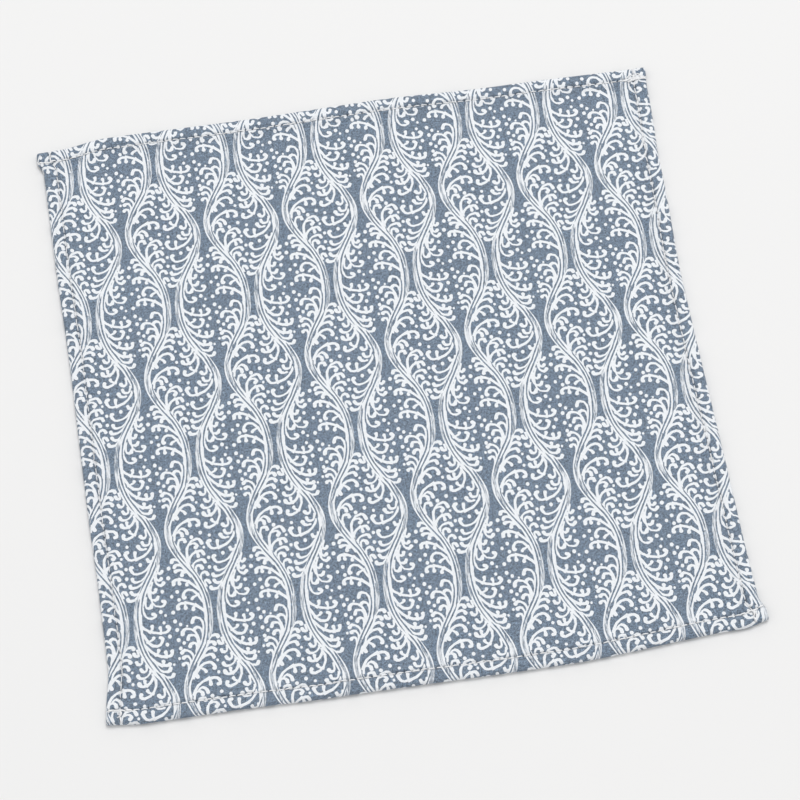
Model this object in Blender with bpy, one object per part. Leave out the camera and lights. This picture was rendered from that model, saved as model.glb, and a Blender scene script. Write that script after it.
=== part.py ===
# Towel handkerchief: one square of printed cotton with a short looped pile on its underside, hemmed all
# round and lying flat. It is one closed solid with a flat underside, a thicker hem band, the groove that
# the hem's stitching pulls in, and an outline that bows out and draws in a little, as washed cloth does.
#
# Metres throughout. +Z is up, +X runs along the front edge, and +Y runs from the front edge to the back
# one. The origin is at the middle of the underside.

import math
from collections import namedtuple

import bmesh
import bpy

MM = 0.001

# The cloth
SIDE = 250.0 * MM          # cut and hemmed length of each side
THICKNESS = 2.2 * MM       # one layer with its pile
FIELD_CELLS = 18           # cells of the mesh along each side, between the hems

# The hem: how far in from the edge each rib of its profile lies, how far the folded layers raise it
# there, and how far the rounded edge or the stitching takes it down again
Rib = namedtuple("Rib", "inset rise dip")
HEM = (
    Rib(inset=0.9 * MM, rise=0.8 * MM, dip=0.5 * MM),
    Rib(inset=2.6 * MM, rise=0.8 * MM, dip=0.0),
    Rib(inset=4.4 * MM, rise=0.8 * MM, dip=0.1 * MM),
    Rib(inset=5.3 * MM, rise=0.6 * MM, dip=0.8 * MM),
    Rib(inset=6.3 * MM, rise=0.4 * MM, dip=0.2 * MM),
    Rib(inset=8.6 * MM, rise=0.0, dip=0.0),
)
RIM_HEIGHT = 1.4 * MM      # height of the edge's outermost line
FOOT_INSET = 0.5 * MM      # how far in from it the edge meets the surface below

# The outline: how far each side stands out past the nominal square at places along it, counted from
# its left or front end. The ends of the hems stand out at the corners as small steps.
Bow = namedtuple("Bow", "along out")
FRONT = (
    Bow(along=0.0, out=-0.1 * MM),
    Bow(along=15.0 * MM, out=1.3 * MM),
    Bow(along=45.0 * MM, out=1.5 * MM),
    Bow(along=85.0 * MM, out=2.5 * MM),
    Bow(along=172.0 * MM, out=3.6 * MM),
    Bow(along=240.0 * MM, out=0.3 * MM),
    Bow(along=SIDE, out=-1.6 * MM),
)
BACK = (
    Bow(along=0.0, out=0.8 * MM),
    Bow(along=9.0 * MM, out=1.0 * MM),
    Bow(along=28.0 * MM, out=3.5 * MM),
    Bow(along=85.0 * MM, out=2.6 * MM),
    Bow(along=138.0 * MM, out=2.9 * MM),
    Bow(along=190.0 * MM, out=1.2 * MM),
    Bow(along=SIDE, out=0.0),
)
LEFT = (
    Bow(along=0.0, out=0.4 * MM),
    Bow(along=24.0 * MM, out=-2.7 * MM),
    Bow(along=55.0 * MM, out=-2.7 * MM),
    Bow(along=85.0 * MM, out=-2.2 * MM),
    Bow(along=150.0 * MM, out=-2.2 * MM),
    Bow(along=205.0 * MM, out=-1.3 * MM),
    Bow(along=240.0 * MM, out=-1.2 * MM),
    Bow(along=246.0 * MM, out=0.9 * MM),
    Bow(along=SIDE, out=0.8 * MM),
)
RIGHT = (
    Bow(along=0.0, out=0.4 * MM),
    Bow(along=4.0 * MM, out=0.3 * MM),
    Bow(along=10.0 * MM, out=-1.8 * MM),
    Bow(along=40.0 * MM, out=-2.4 * MM),
    Bow(along=150.0 * MM, out=-3.5 * MM),
    Bow(along=200.0 * MM, out=-2.0 * MM),
    Bow(along=240.0 * MM, out=-0.4 * MM),
    Bow(along=247.0 * MM, out=0.4 * MM),
    Bow(along=SIDE, out=0.4 * MM),
)

# The unevenness of washed cloth, as two crossing swells of the top
SWELL_HEIGHT = 0.12 * MM
SWELL_LENGTH_X = 83.0 * MM
SWELL_LENGTH_Y = 61.0 * MM

CLOTH_COLOR = (0.150, 0.202, 0.283, 1.0)
CLOTH_ROUGHNESS = 0.95


def bow_at(side_rows, along):
    """How far a side stands out at a place along it, eased from one row of its table to the next."""
    for near, far in zip(side_rows, side_rows[1:]):
        if along <= far.along:
            share = (along - near.along) / (far.along - near.along)
            eased = share * share * (3.0 - 2.0 * share)
            return near.out + (far.out - near.out) * eased
    return side_rows[-1].out


def place(across, up):
    """Where a point of the nominal square lies in the uneven outline, from its lower left corner."""
    left = -bow_at(LEFT, up)
    right = SIDE + bow_at(RIGHT, up)
    front = -bow_at(FRONT, across)
    back = SIDE + bow_at(BACK, across)
    return left + (right - left) * across / SIDE, front + (back - front) * up / SIDE


def mesh_lines():
    """Places of the mesh's lines along one side: the hem's ribs, the field, the hem's ribs again."""
    near = [rib.inset for rib in HEM]
    step = (SIDE - 2.0 * near[-1]) / FIELD_CELLS
    field = [near[-1] + step * cell for cell in range(1, FIELD_CELLS)]
    far = [SIDE - inset for inset in reversed(near)]
    return near + field + far


def rib_at(place_along):
    """The hem's rib that a mesh line follows, or None in the field."""
    inset = min(place_along, SIDE - place_along)
    for rib in HEM:
        if abs(rib.inset - inset) < 0.01 * MM:
            return rib
    return None


def top_height(across, up):
    """Height of the top, where the hems cross with their folds on top and both grooves run out."""
    ribs = [rib for rib in (rib_at(across), rib_at(up)) if rib]
    rise = max((rib.rise for rib in ribs), default=0.0)
    dip = max((rib.dip for rib in ribs), default=0.0)
    swell_x = math.sin(2.0 * math.pi * across / SWELL_LENGTH_X + 3.0 * up / SIDE)
    swell_y = math.cos(2.0 * math.pi * up / SWELL_LENGTH_Y - 2.0 * across / SIDE)
    return THICKNESS + rise - dip + SWELL_HEIGHT * swell_x * swell_y


def border(count):
    """Grid places of a square's outermost points, in order, anticlockwise from above."""
    last = count - 1
    front = [(column, 0) for column in range(last)]
    right = [(last, row) for row in range(last)]
    back = [(column, last) for column in range(last, 0, -1)]
    left = [(0, row) for row in range(last, 0, -1)]
    return front + right + back + left


def ring(mesh, lines, inset, height):
    """A ring of points round the edge, at one height, each beside a point of the top's border."""
    moved = [inset] + lines[1:-1] + [SIDE - inset]
    points = []
    for column, row in border(len(lines)):
        x, y = place(moved[column], moved[row])
        points.append(mesh.verts.new((x, y, height)))
    return points


def band(mesh, upper, lower):
    """A band of faces between two rings of the edge."""
    count = len(upper)
    for spot in range(count):
        after = (spot + 1) % count
        mesh.faces.new((lower[spot], lower[after], upper[after], upper[spot]))


def centre_on_origin(mesh):
    """Moves the mesh so that the middle of its outline's box is at the origin."""
    xs = [vert.co.x for vert in mesh.verts]
    ys = [vert.co.y for vert in mesh.verts]
    middle = (0.5 * (min(xs) + max(xs)), 0.5 * (min(ys) + max(ys)), 0.0)
    bmesh.ops.translate(mesh, verts=mesh.verts, vec=[-part for part in middle])


def cloth_material():
    """Dull printed cotton, in the colour of its ground."""
    material = bpy.data.materials.new("printed_cotton")
    material.use_nodes = True
    shader = material.node_tree.nodes["Principled BSDF"]
    shader.inputs["Base Color"].default_value = CLOTH_COLOR
    shader.inputs["Roughness"].default_value = CLOTH_ROUGHNESS
    shader.inputs["Metallic"].default_value = 0.0
    return material


def handkerchief():
    """The hemmed cloth as one closed solid."""
    mesh = bmesh.new()
    lines = mesh_lines()
    count = len(lines)
    top = {}
    for column, across in enumerate(lines):
        for row, up in enumerate(lines):
            x, y = place(across, up)
            top[column, row] = mesh.verts.new((x, y, top_height(across, up)))
    for column in range(count - 1):
        for row in range(count - 1):
            corners = ((column, row), (column + 1, row), (column + 1, row + 1), (column, row + 1))
            mesh.faces.new([top[corner] for corner in corners])
    shoulder = [top[spot] for spot in border(count)]
    rim = ring(mesh, lines, 0.0, RIM_HEIGHT)
    foot = ring(mesh, lines, FOOT_INSET, 0.0)
    band(mesh, shoulder, rim)
    band(mesh, rim, foot)
    mesh.faces.new(list(reversed(foot)))
    centre_on_origin(mesh)

    data = bpy.data.meshes.new("handkerchief")
    mesh.to_mesh(data)
    mesh.free()
    data.materials.append(cloth_material())
    data.shade_smooth()
    data.set_sharp_from_angle(angle=math.radians(40.0))
    cloth = bpy.data.objects.new("handkerchief", data)
    bpy.context.scene.collection.objects.link(cloth)
    return cloth


for old in list(bpy.data.objects):
    bpy.data.objects.remove(old, do_unlink=True)

handkerchief()
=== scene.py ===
import math
from collections import namedtuple
from itertools import product

import bpy
import numpy as np
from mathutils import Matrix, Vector
from mathutils.geometry import delaunay_2d_cdt


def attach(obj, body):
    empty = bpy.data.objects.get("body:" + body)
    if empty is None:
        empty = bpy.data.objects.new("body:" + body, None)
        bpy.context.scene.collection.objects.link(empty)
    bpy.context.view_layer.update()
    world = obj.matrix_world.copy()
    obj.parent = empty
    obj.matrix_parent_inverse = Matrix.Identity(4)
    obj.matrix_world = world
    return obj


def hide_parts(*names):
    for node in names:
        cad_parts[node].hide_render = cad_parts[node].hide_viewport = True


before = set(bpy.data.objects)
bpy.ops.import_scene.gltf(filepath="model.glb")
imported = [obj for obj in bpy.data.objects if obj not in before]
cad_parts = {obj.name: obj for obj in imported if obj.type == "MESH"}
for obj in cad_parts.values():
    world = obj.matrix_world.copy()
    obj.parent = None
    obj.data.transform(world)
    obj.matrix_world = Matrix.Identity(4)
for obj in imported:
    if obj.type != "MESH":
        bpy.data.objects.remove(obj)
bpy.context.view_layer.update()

# The hemmed square
# One square of light woven cotton with a short looped pile below. Its edge is turned under once all
# round and stitched, so the hem is the thickest part, and washing has bowed and drawn in its sides.
# All sizes of the cloth are in millimetres, counted from its lower left corner.
MM = 0.001
SIDE = 250.0
THICKNESS = 2.2            # one layer with its pile

# How far each side stands out past the true square, at places along it from its left or front end
Bow = namedtuple("Bow", "along out")
FRONT = (
    Bow(0.0, -0.1), Bow(15.0, 1.3), Bow(45.0, 1.5), Bow(85.0, 2.5), Bow(172.0, 3.6),
    Bow(240.0, 0.3), Bow(SIDE, -1.6),
)
BACK = (
    Bow(0.0, 0.8), Bow(9.0, 1.0), Bow(28.0, 3.5), Bow(85.0, 2.6), Bow(138.0, 2.9),
    Bow(190.0, 1.2), Bow(SIDE, 0.0),
)
LEFT = (
    Bow(0.0, 0.4), Bow(24.0, -2.7), Bow(55.0, -2.7), Bow(85.0, -2.2), Bow(150.0, -2.2),
    Bow(205.0, -1.3), Bow(240.0, -1.2), Bow(246.0, 0.9), Bow(SIDE, 0.8),
)
RIGHT = (
    Bow(0.0, 0.4), Bow(4.0, 0.3), Bow(10.0, -1.8), Bow(40.0, -2.4), Bow(150.0, -3.5),
    Bow(200.0, -2.0), Bow(240.0, -0.4), Bow(247.0, 0.4), Bow(SIDE, 0.4),
)


def ease(share):
    """A soft start and end between 0 and 1."""
    share = np.clip(share, 0.0, 1.0)
    return share * share * (3.0 - 2.0 * share)


def blend(start, end, share):
    """A value between two others."""
    return start + (end - start) * share


def bow_at(rows, along):
    """How far a side stands out at places along it."""
    marks, outs = np.array(rows).T
    near = np.clip(np.searchsorted(marks, along, side="right") - 1, 0, len(rows) - 2)
    share = (along - marks[near]) / (marks[near + 1] - marks[near])
    return blend(outs[near], outs[near + 1], ease(share))


def lay_out(across, up):
    """Where points of the true square lie in the bowed outline."""
    left, right = -bow_at(LEFT, up), SIDE + bow_at(RIGHT, up)
    front, back = -bow_at(FRONT, across), SIDE + bow_at(BACK, across)
    return blend(left, right, across / SIDE), blend(front, back, up / SIDE)


def square_up(x, y):
    """The reverse of lay_out, worked towards in a few rounds."""
    across, up = x.copy(), y.copy()
    for _ in range(6):
        left, right = -bow_at(LEFT, up), SIDE + bow_at(RIGHT, up)
        across = (x - left) / (right - left) * SIDE
        front, back = -bow_at(FRONT, across), SIDE + bow_at(BACK, across)
        up = (y - front) / (back - front) * SIDE
    return across, up


edge_walk = np.linspace(0.0, SIDE, 501)
MIDDLE_X = 0.5 * (SIDE + bow_at(RIGHT, edge_walk).max() - bow_at(LEFT, edge_walk).max())
MIDDLE_Y = 0.5 * (SIDE + bow_at(BACK, edge_walk).max() - bow_at(FRONT, edge_walk).max())

# The rounded fold of the hem, seen in section, and what is turned under
FOLD_DEPTH = 1.1
FOLD_TURN = 1.9            # cloth that goes round a quarter of the fold
FOLD_SLACK = FOLD_TURN - FOLD_DEPTH
FOLD_MIDDLE = 1.4          # height of the fold's outermost line
FOOT = 0.06                # height of the turned-under cloth's face
TURNED_UNDER = 6.8
CORNER_ROUND = 0.9

# The raised hem band, the groove of its seam, and the unevenness of the whole top
HEM_RISE = 0.7
HEM_CROWN = 0.15           # how much further the band bulges between edge and seam
HEM_END = 8.3              # inset where the band has run out, and how wide it falls before that
HEM_FALL = 2.3
SEAM_INSET = 5.3
SEAM_START = 1.0
STITCH = 3.0
GROOVE_DEPTH = 0.7
GROOVE_WIDTH = 0.55
SWELL, SWELL_LENGTH_X, SWELL_LENGTH_Y = 0.12, 83.0, 61.0
RIPPLE, RIPPLE_LENGTH_X, RIPPLE_LENGTH_Y = 0.035, 27.0, 31.0


def hem_height(inset):
    """The hem's own rise at an inset from one edge, and the groove its stitching pulls in."""
    bulge = HEM_CROWN * np.sin(np.pi * np.clip(inset / SEAM_INSET, 0.0, 1.0))
    rise = HEM_RISE * ease((HEM_END - inset) / HEM_FALL) + bulge
    return rise, GROOVE_DEPTH * np.exp(-((inset - SEAM_INSET) / GROOVE_WIDTH) ** 2)


def top_height(across, up):
    """Height of the printed face, with both hems crossing at the corners."""
    rises, grooves = zip(*[hem_height(inset) for inset in (across, SIDE - across, up, SIDE - up)])
    swell = SWELL * np.sin(2.0 * np.pi * across / SWELL_LENGTH_X + 3.0 * up / SIDE)
    swell *= np.cos(2.0 * np.pi * up / SWELL_LENGTH_Y - 2.0 * across / SIDE)
    ripple = RIPPLE * np.sin(2.0 * np.pi * (across + 0.3 * up) / RIPPLE_LENGTH_X)
    ripple *= np.sin(2.0 * np.pi * up / RIPPLE_LENGTH_Y)
    return THICKNESS + np.maximum.reduce(rises) - np.maximum.reduce(grooves) + swell + ripple


def turn_edge(plan):
    """Plan inset and up-down share of the cloth at a plan distance from one edge, round its fold."""
    path = plan + FOLD_SLACK
    turn = np.clip(np.abs(path) / FOLD_TURN, 0.0, 1.0) * 0.5 * np.pi
    inset = FOLD_DEPTH * (1.0 - np.cos(turn)) + np.maximum(np.abs(path) - FOLD_TURN, 0.0)
    return inset, np.sign(path) * np.sin(turn)


def on_cloth(across, up):
    """Points of the cloth's face in metres, from their places on the flat cut, hem and all."""
    left, low = across < 0.5 * SIDE, up < 0.5 * SIDE
    inset_x, share_x = turn_edge(np.where(left, across, SIDE - across))
    inset_y, share_y = turn_edge(np.where(low, up, SIDE - up))
    near_x, near_y = CORNER_ROUND - inset_x, CORNER_ROUND - inset_y
    corner = (near_x > 0.0) & (near_y > 0.0)
    shrink = np.where(corner, np.maximum(near_x, near_y) / np.hypot(near_x, near_y).clip(1e-9), 1.0)
    inset_x = np.where(corner, CORNER_ROUND - near_x * shrink, inset_x)
    inset_y = np.where(corner, CORNER_ROUND - near_y * shrink, inset_y)
    flat_x = np.where(left, inset_x, SIDE - inset_x)
    flat_y = np.where(low, inset_y, SIDE - inset_y)
    x, y = lay_out(flat_x, flat_y)
    share = np.minimum(share_x, share_y)
    top = top_height(flat_x, flat_y)
    over = FOLD_MIDDLE + (top - FOLD_MIDDLE) * share
    under = FOLD_MIDDLE + (FOLD_MIDDLE - FOOT) * share
    z = np.where(share > 0.0, over, under)
    return np.stack([x - MIDDLE_X, y - MIDDLE_Y, z], axis=-1) * MM


def face_directions(across, up):
    """The way the cloth's face looks at its points, from its slopes either way."""
    step = 0.05
    along_x = on_cloth(across + step, up) - on_cloth(across - step, up)
    along_y = on_cloth(across, up + step) - on_cloth(across, up - step)
    facing = np.cross(along_x, along_y)
    return facing / np.linalg.norm(facing, axis=1, keepdims=True).clip(1e-12)


# The printed pattern
# White pigment screen-printed on the slate ground, in the old way of rising vapour: bands that swing
# apart and together, with crests of foam curling off both sides of each. One repeat is drawn here
# from its sizes and short tables, its origin in the middle of the bulb that the crests fill.
REPEAT_WIDTH = 31.8
REPEAT_HEIGHT = 66.0
FIRST_BULB = (45.0, 73.3)  # where one repeat's middle lies on the cloth

BAND_MIDDLE = 6.9
BAND_SWING = 5.55
BAND_FLATNESS = 0.45
BAND_CREST = 0.9           # height at which the left band swings out furthest
BAND_STAGGER = 5.0         # how much lower the right one does
BAND_SHIFT = 0.35          # how much further out it lies


def band_reach(side, height):
    """How far a band lies from the bulb's middle line; the side is -1 for the left, 1 for the right."""
    lifted = height + BAND_STAGGER if side > 0 else height
    turn = 2.0 * math.pi * (lifted - BAND_CREST) / REPEAT_HEIGHT
    reach = BAND_MIDDLE + BAND_SWING * math.cos(turn) + BAND_FLATNESS * math.cos(2.0 * turn)
    return reach + (BAND_SHIFT if side > 0 else 0.0)


def beside_band(side, height, offset):
    """A point beside a band's centre, offset away from the bulb's middle."""
    step = 0.1
    slope = (band_reach(side, height + step) - band_reach(side, height - step)) / (2.0 * step)
    run = math.hypot(1.0, slope)
    return side * (band_reach(side, height) + offset / run), height - offset * slope / run


# How far a band's print reaches beside its centre, at places counted from where its bulb is widest
Edge = namedtuple("Edge", "place inward outward")
LEFT_BAND = (
    Edge(-33.3, -1.2, 2.1), Edge(-31.0, -1.2, 2.0), Edge(-27.0, -1.3, 1.65), Edge(-24.0, -1.4, 1.8),
    Edge(-19.0, -1.35, 1.5), Edge(-12.0, -1.35, 1.7), Edge(-6.0, -1.2, 1.95), Edge(-3.0, -0.9, 2.05),
    Edge(0.0, -0.5, 2.05), Edge(4.0, -0.5, 2.0), Edge(8.0, -1.0, 2.0), Edge(12.0, -0.95, 2.0),
    Edge(15.0, -1.25, 1.7), Edge(20.0, -1.45, 1.65), Edge(24.0, -1.6, 2.0), Edge(27.5, -1.45, 2.2),
    Edge(29.0, -1.3, 1.95), Edge(33.3, -1.2, 2.1),
)
RIGHT_BAND = (
    Edge(-33.3, -1.2, 2.2), Edge(-31.0, -1.2, 2.1), Edge(-28.0, -1.3, 2.0), Edge(-25.5, -1.5, 1.6),
    Edge(-22.0, -1.8, 1.8), Edge(-18.0, -1.6, 1.2), Edge(-16.0, -1.5, 1.4), Edge(-13.3, -1.45, 1.2),
    Edge(-9.0, -1.35, 1.45), Edge(-5.0, -1.2, 1.5), Edge(-3.0, -0.9, 1.6), Edge(0.0, -0.8, 1.75),
    Edge(2.5, -0.75, 2.1), Edge(5.0, -1.15, 2.25), Edge(9.0, -0.95, 2.25), Edge(12.3, -0.6, 2.2),
    Edge(15.0, -1.1, 2.0), Edge(21.5, -1.2, 1.8), Edge(25.0, -1.25, 1.95), Edge(28.5, -1.2, 1.85),
    Edge(33.3, -1.2, 2.2),
)

# The bare hairlines that part a band into strands, and the dry strips that took the print badly: each
# route goes through places along the band and offsets from its centre
Streak = namedtuple("Streak", "side width route")
HAIRLINES = (
    Streak(-1, 0.59, (
        (-33.3, 0.6), (-24.0, 0.5), (-17.5, 0.5), (-15.5, 0.8), (-11.0, 1.05), (-4.2, 1.1),
    )),
    Streak(-1, 0.5, ((-32.5, -0.4), (-27.0, -0.5), (-15.0, -0.8), (-13.6, -1.4))),
    Streak(-1, 0.56, ((-13.0, -0.15), (-8.5, -0.2), (-5.0, -0.4), (-2.8, -0.6), (-1.0, -0.95))),
    Streak(-1, 0.56, ((2.4, 0.9), (4.0, 0.4), (6.0, 0.15), (12.0, 0.0), (15.0, -0.35), (19.7, -0.65))),
    Streak(-1, 0.53, ((19.0, -0.65), (22.0, -0.2), (25.0, 0.15), (28.0, 0.4), (33.3, 0.6))),
    Streak(-1, 0.59, (
        (5.8, 1.2), (11.0, 1.2), (16.5, 0.95), (19.0, 0.75), (23.0, 1.1), (26.5, 1.6), (28.9, 2.2),
    )),
    Streak(-1, 0.9, ((8.6, -0.3), (11.8, -0.3))),
    Streak(1, 0.5, ((-33.3, 0.85), (-31.0, 0.7), (-28.0, 0.3), (-22.8, -0.3), (-20.2, -0.6))),
    Streak(1, 0.59, ((-27.6, 2.5), (-25.3, 1.5), (-20.7, 0.6), (-18.0, 0.2), (-14.0, 0.15), (-5.8, 0.4))),
    Streak(1, 0.56, (
        (-18.4, -1.35), (-13.0, -1.2), (-10.5, -0.85), (-8.0, -1.0), (-4.0, -0.45), (-0.8, 0.4),
    )),
    Streak(1, 0.59, ((1.2, -1.2), (3.5, -0.75), (5.0, -0.2), (8.2, 0.05), (11.5, 0.5), (15.5, 0.3))),
    Streak(1, 0.63, ((5.6, 1.35), (9.0, 1.5), (12.4, 1.7))),
    Streak(1, 0.59, (
        (12.6, 2.5), (13.6, 1.7), (15.0, 1.25), (17.3, 1.45), (21.0, 1.05), (25.0, 0.95), (33.3, 0.85),
    )),
    Streak(1, 0.5, ((16.3, -0.2), (19.8, -0.3), (22.5, -0.2), (31.8, -0.2))),
)
DRY_STRIPS = (
    Streak(-1, 1.3, ((20.6, -0.9), (24.0, -0.7), (28.0, -0.5), (33.3, -0.35))),
    Streak(-1, 1.25, ((-9.0, 0.6), (-2.8, 0.8), (2.0, 0.9), (7.5, 0.8), (11.0, 0.6))),
    Streak(-1, 0.5, ((-33.3, -0.85), (-26.0, -1.0))),
    Streak(1, 1.3, ((-33.3, -0.45), (-28.0, -0.6), (-24.0, -1.0), (-19.2, -1.4))),
    Streak(1, 1.2, ((-9.0, 0.6), (-5.5, 0.7), (0.0, 0.95), (5.0, 1.15), (9.5, 1.0))),
    Streak(1, 0.8, ((27.0, -0.75), (33.3, -0.6))),
)
LINE_STEP = 1.9            # length of the straight lines that make up a band's edges
BAND_END = 33.0            # a streak that goes on past this meets its copy in the next repeat
STREAK_EDGE = (0.75, 1.25)    # how unevenly wide a streak is, and a stroke
STROKE_EDGE = (0.76, 1.2)
STREAK_TIP = 0.2           # how wide a streak still is where it ends
hand = np.random.default_rng(7)    # the unevenness of a screen cut by hand


def strip_outline(side, places, inward, outward):
    """The outline between two lines of offsets, at places counted from where the bulb is widest."""
    widest = BAND_CREST - (BAND_STAGGER if side > 0 else 0.0)
    inner = [beside_band(side, widest + place, offset) for place, offset in zip(places, inward)]
    outer = [beside_band(side, widest + place, offset) for place, offset in zip(places, outward)]
    return inner + outer[::-1]


def places_between(start, end):
    """Even steps along a band."""
    return np.linspace(start, end, max(2, round((end - start) / LINE_STEP)) + 1)


def band_bed(side, edges):
    """The outline of a band's whole print."""
    marks, inward, outward = zip(*edges)
    places = places_between(marks[0], marks[-1])
    offsets = [np.interp(places, marks, reach) for reach in (inward, outward)]
    return strip_outline(side, places, *offsets)


def streak_outline(streak):
    """The outline of a hairline or a dry strip, uneven along its edges and pointed where it ends."""
    marks, offsets = zip(*streak.route)
    places = places_between(marks[0], marks[-1])
    middles = np.interp(places, marks, offsets)
    halves = 0.5 * streak.width * hand.uniform(*STREAK_EDGE, len(places))
    for end in (0, -1):
        if abs(places[end]) < BAND_END:
            halves[end] *= STREAK_TIP
    return strip_outline(streak.side, places, middles - halves, middles + halves)


def bezier(*pulls, steps):
    """Points along a curve from its start, what pulls on its two ends, and its end."""
    points = []
    for step in range(steps + 1):
        t = step / steps
        s = 1.0 - t
        weights = (s * s * s, 3.0 * s * s * t, 3.0 * s * t * t, t * t * t)
        points.append([sum(w * p[axis] for w, p in zip(weights, pulls)) for axis in (0, 1)])
    return points


# Widths of a stroke where it starts, at its waist and across its round head
Stroke = namedtuple("Stroke", "root waist head")
PLAIN_STEM = Stroke(1.0, 0.85, 1.58)
TOOTHED_STEM = Stroke(1.0, 1.1, 1.58)
TOOTH = Stroke(1.35, 0.76, 1.54)
WAIST = 0.4                # how far along the stroke its waist is


def brush_stroke(points, stroke):
    """The outline of a stroke along points, a little uneven."""
    left, right = [], []
    last = len(points) - 1
    for spot, (x, y) in enumerate(points):
        before, after = points[max(spot - 1, 0)], points[min(spot + 1, last)]
        dx, dy = after[0] - before[0], after[1] - before[1]
        run = math.hypot(dx, dy)
        share = spot / last
        slim = blend(stroke.root, stroke.waist, float(ease(share / WAIST)))
        width = blend(slim, stroke.head, float(ease((share - WAIST) / (1.0 - WAIST))))
        side_x, side_y = -0.5 * width * dy / run, 0.5 * width * dx / run
        fuller, leaner = hand.uniform(*STROKE_EDGE, 2)
        left.append((x + side_x * fuller, y + side_y * fuller))
        right.append((x - side_x * leaner, y - side_y * leaner))
    x, y = points[-1]
    start = math.atan2(side_y, side_x)
    turns = [start - math.pi * step / 4 for step in (1, 2, 3)]
    radius = 0.5 * stroke.head
    cap = [(x + radius * math.cos(turn), y + radius * math.sin(turn)) for turn in turns]
    return left + cap + right[::-1]


# One crest: the height at which its stem leaves the band, where its head ends, how far its crown arches
# past that and its tip curls back, the tips of its teeth, how much further out it starts, and its lean
Spray = namedtuple("Spray", "root x y arch curl teeth apart lean", defaults=(0.0, (), 0.0, 0.4))
# Crests off the left band into the bulb: they rise and curl over to the right
LEFT_INWARD = (
    Spray(-23.5, -0.2, -21.4, 1.2, apart=-0.5),
    Spray(-20.0, -0.5, -18.0, 1.1),
    Spray(-17.0, -2.3, -15.1, 1.3),
    Spray(-15.0, -0.9, -12.7, 1.2),
    Spray(-13.0, -1.0, -9.3, 1.5, teeth=((-3.2, -10.0),)),
    Spray(-12.5, -3.8, -6.2, 1.9, curl=0.7),
    Spray(-12.5, -1.2, -4.8, 2.1),
    Spray(-7.0, -7.4, -3.1, 1.1, lean=0.1),
    Spray(-2.5, -8.1, -0.6, 1.7),
    Spray(1.5, -6.2, 0.1, 2.3, apart=2.3),
    Spray(-0.5, -2.0, 2.9, 2.9, curl=0.9, teeth=((-4.8, 3.2),)),
    Spray(6.5, -9.2, 6.9, 1.2),
    Spray(7.5, -2.8, 9.5, 2.7, curl=0.4, teeth=((-6.0, 8.6),)),
    Spray(9.5, -2.4, 13.9, 1.4, lean=-0.2),
    Spray(15.0, -1.5, 16.6, 1.3),
    Spray(17.0, -1.4, 19.1, 1.2),
    Spray(18.5, 0.1, 21.9, 1.0),
)
# Crests off the right band into the bulb: they hang and curl up to the left
RIGHT_INWARD = (
    Spray(22.0, 0.1, 19.9, 1.2, apart=-0.5),
    Spray(18.5, 0.8, 16.3, 1.0),
    Spray(15.5, 2.2, 13.2, 1.1),
    Spray(13.0, 0.9, 10.9, 1.4),
    Spray(11.5, 1.0, 7.7, 1.5, teeth=((3.1, 8.4),)),
    Spray(10.5, 1.4, 3.1, 1.7, curl=0.4, teeth=((3.9, 4.4),), apart=0.6, lean=-0.4),
    Spray(5.0, 7.7, 1.8, 1.0),
    Spray(1.0, 8.1, -0.9, 1.5),
    Spray(-3.2, 6.3, -2.2, 1.7, apart=2.7),
    Spray(-1.5, 2.0, -4.2, 3.5, curl=0.9, teeth=((4.8, -4.7),)),
    Spray(-7.5, 9.3, -8.3, 1.1),
    Spray(-9.0, 3.0, -10.8, 3.0, curl=0.6),
    Spray(-10.5, 2.6, -15.5, 1.6),
    Spray(-16.5, 1.5, -18.3, 1.0),
    Spray(-19.5, 1.6, -20.9, 1.2),
    Spray(-20.5, 0.1, -23.5, 1.0),
)
# Crests off the right band into the open bulb beside it: they hang and curl up to the right
RIGHT_OUTWARD = (
    Spray(-10.5, 14.1, -14.1, 0.7),
    Spray(-13.5, 13.5, -17.0, 0.6),
    Spray(-15.0, 14.2, -18.9, 0.9),
    Spray(-17.0, 11.0, -21.2, 1.1),
    Spray(-19.0, 13.1, -26.3, 2.2, curl=0.7),
    Spray(-20.0, 11.4, -24.4, 1.1, lean=0.1),
    Spray(-23.0, 8.7, -27.3, 1.2),
    Spray(-27.5, 8.8, -31.0, 1.8, curl=0.8),
    Spray(31.2, 13.6, 29.0, 2.2, curl=0.6, teeth=((8.0, 30.1), (10.9, 29.0)), lean=0.7),
    Spray(28.0, 10.6, 25.0, 3.3, curl=0.7, teeth=((8.0, 25.2),), lean=0.7),
    Spray(23.0, 14.4, 18.9, 2.0, teeth=((9.3, 20.0), (11.9, 18.9))),
    Spray(17.5, 12.9, 13.8, 0.5, teeth=((10.6, 15.2),)),
    Spray(14.5, 13.0, 12.0, 1.2),
    Spray(12.0, 13.9, 9.4, 1.1),
)
# Crests off the left band into the open bulb on its other side: they rise and curl over to the left
LEFT_OUTWARD = (
    Spray(22.5, -8.8, 29.3, 1.8, lean=0.1),
    Spray(23.0, -8.3, 26.1, 0.9),
    Spray(19.0, -13.0, 24.9, 2.1),
    Spray(17.5, -11.1, 22.7, 1.5),
    Spray(16.0, -10.6, 19.6, 1.3),
    Spray(13.5, -13.9, 17.5, 0.9),
    Spray(11.5, -13.5, 15.4, 0.5),
    Spray(9.0, -13.9, 12.7, 0.6),
    Spray(-13.0, -13.6, -10.9, 1.0),
    Spray(-15.5, -12.8, -13.2, 0.9),
    Spray(-16.0, -12.5, -15.0, 0.4),
    Spray(-17.5, -10.3, -16.9, 1.2),
    Spray(-23.5, -14.0, -20.2, 1.8, teeth=((-11.6, -20.3), (-8.9, -21.1)), lean=0.6),
    Spray(-29.5, -10.3, -26.2, 2.9, curl=0.6, teeth=((-7.6, -27.1),), lean=0.6),
    Spray(-33.3, -13.2, -30.4, 2.1, curl=0.4, teeth=((-10.5, -30.6), (-7.7, -31.6)), lean=0.8),
)
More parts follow.
